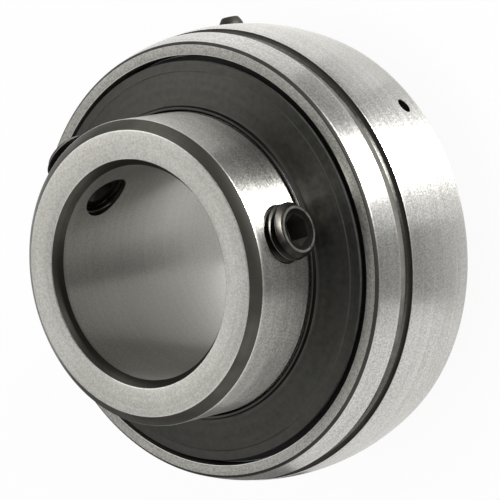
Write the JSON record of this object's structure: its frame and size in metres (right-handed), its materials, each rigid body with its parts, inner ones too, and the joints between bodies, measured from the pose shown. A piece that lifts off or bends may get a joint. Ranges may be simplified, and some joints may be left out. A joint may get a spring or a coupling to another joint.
{
  "type": "insert bearing",
  "caption": "Ball bearing insert with a spherical outer ring and a wide inner ring whose collar is clamped to a shaft by socket set screws.",
  "frame": {"origin": "on the bore's axis, at the centre of the spherical outside, in the plane of the ball centres", "axes": "+Z along the bore towards the set-screw collar, +X through the first set screw; the part stands on the inner ring's other end face"},
  "size_m": [0.052, 0.0529, 0.0338],
  "materials": {
    "ring_steel": "ground and polished bearing steel",
    "ball_steel": "polished bearing steel",
    "cage_steel": "pressed steel sheet",
    "rivet_steel": "plain steel rivets",
    "case_steel": "pressed steel sheet",
    "seal_rubber": "black nitrile rubber",
    "flinger_steel": "dark coated steel sheet",
    "screw_steel": "black oxide steel",
    "pin_steel": "black oxide steel"
  },
  "bodies": {
    "outer_ring": {"outer_ring": "ring_steel", "locating_pin": "pin_steel", "front_seal_case": "case_steel", "front_seal_rubber": "seal_rubber", "back_seal_case": "case_steel", "back_seal_rubber": "seal_rubber"},
    "inner_ring": {"inner_ring": "ring_steel", "front_flinger": "flinger_steel", "back_flinger": "flinger_steel"},
    "cage": {"cage_front_half": "cage_steel", "cage_back_half": "cage_steel", "cage_rivets": "rivet_steel"},
    "ball_1": {"ball_1": "ball_steel"},
    "ball_2": {"ball_2": "ball_steel"},
    "ball_3": {"ball_3": "ball_steel"},
    "ball_4": {"ball_4": "ball_steel"},
    "ball_5": {"ball_5": "ball_steel"},
    "ball_6": {"ball_6": "ball_steel"},
    "ball_7": {"ball_7": "ball_steel"},
    "ball_8": {"ball_8": "ball_steel"},
    "ball_9": {"ball_9": "ball_steel"},
    "set_screw_1": {"set_screw_1": "screw_steel"},
    "set_screw_2": {"set_screw_2": "screw_steel"}
  },
  "joints": [
    {"name": "ring_spin", "type": "hinge", "parent": "outer_ring", "child": "inner_ring", "pos_m": [0, 0, 0], "axis": [0, 0, 1], "continuous": true},
    {"name": "cage_spin", "type": "hinge", "parent": "outer_ring", "child": "cage", "pos_m": [0, 0, 0], "axis": [0, 0, 1], "continuous": true},
    {"name": "ball_1_spin", "type": "hinge", "parent": "cage", "child": "ball_1", "pos_m": [0.01832, 0.00667, 0], "axis": [0, 0, 1], "continuous": true},
    {"name": "ball_2_spin", "type": "hinge", "parent": "cage", "child": "ball_2", "pos_m": [0.00975, 0.01689, 0], "axis": [0, 0, 1], "continuous": true},
    {"name": "ball_3_spin", "type": "hinge", "parent": "cage", "child": "ball_3", "pos_m": [-0.00339, 0.0192, 0], "axis": [0, 0, 1], "continuous": true},
    {"name": "ball_4_spin", "type": "hinge", "parent": "cage", "child": "ball_4", "pos_m": [-0.01494, 0.01253, 0], "axis": [0, 0, 1], "continuous": true},
    {"name": "ball_5_spin", "type": "hinge", "parent": "cage", "child": "ball_5", "pos_m": [-0.0195, 0, 0], "axis": [0, 0, 1], "continuous": true},
    {"name": "ball_6_spin", "type": "hinge", "parent": "cage", "child": "ball_6", "pos_m": [-0.01494, -0.01253, 0], "axis": [0, 0, 1], "continuous": true},
    {"name": "ball_7_spin", "type": "hinge", "parent": "cage", "child": "ball_7", "pos_m": [-0.00339, -0.0192, 0], "axis": [0, 0, 1], "continuous": true},
    {"name": "ball_8_spin", "type": "hinge", "parent": "cage", "child": "ball_8", "pos_m": [0.00975, -0.01689, 0], "axis": [0, 0, 1], "continuous": true},
    {"name": "ball_9_spin", "type": "hinge", "parent": "cage", "child": "ball_9", "pos_m": [0.01832, -0.00667, 0], "axis": [0, 0, 1], "continuous": true},
    {"name": "screw_1_travel", "type": "slide", "parent": "inner_ring", "child": "set_screw_1", "axis": [1, 0, 0], "range_m": [-0.00091, 0.00272]},
    {"name": "screw_2_travel", "type": "slide", "parent": "inner_ring", "child": "set_screw_2", "axis": [-0.5664, 0.8241, 0], "range_m": [-0.00091, 0.00272]}
  ],
  "couplings": [
    {"joint": "cage_spin", "follows": "ring_spin", "ratio": 0.39823},
    {"joint": "ball_1_spin", "follows": "ring_spin", "ratio": -2.3548},
    {"joint": "ball_2_spin", "follows": "ring_spin", "ratio": -2.3548},
    {"joint": "ball_3_spin", "follows": "ring_spin", "ratio": -2.3548},
    {"joint": "ball_4_spin", "follows": "ring_spin", "ratio": -2.3548},
    {"joint": "ball_5_spin", "follows": "ring_spin", "ratio": -2.3548},
    {"joint": "ball_6_spin", "follows": "ring_spin", "ratio": -2.3548},
    {"joint": "ball_7_spin", "follows": "ring_spin", "ratio": -2.3548},
    {"joint": "ball_8_spin", "follows": "ring_spin", "ratio": -2.3548},
    {"joint": "ball_9_spin", "follows": "ring_spin", "ratio": -2.3548}
  ]
}
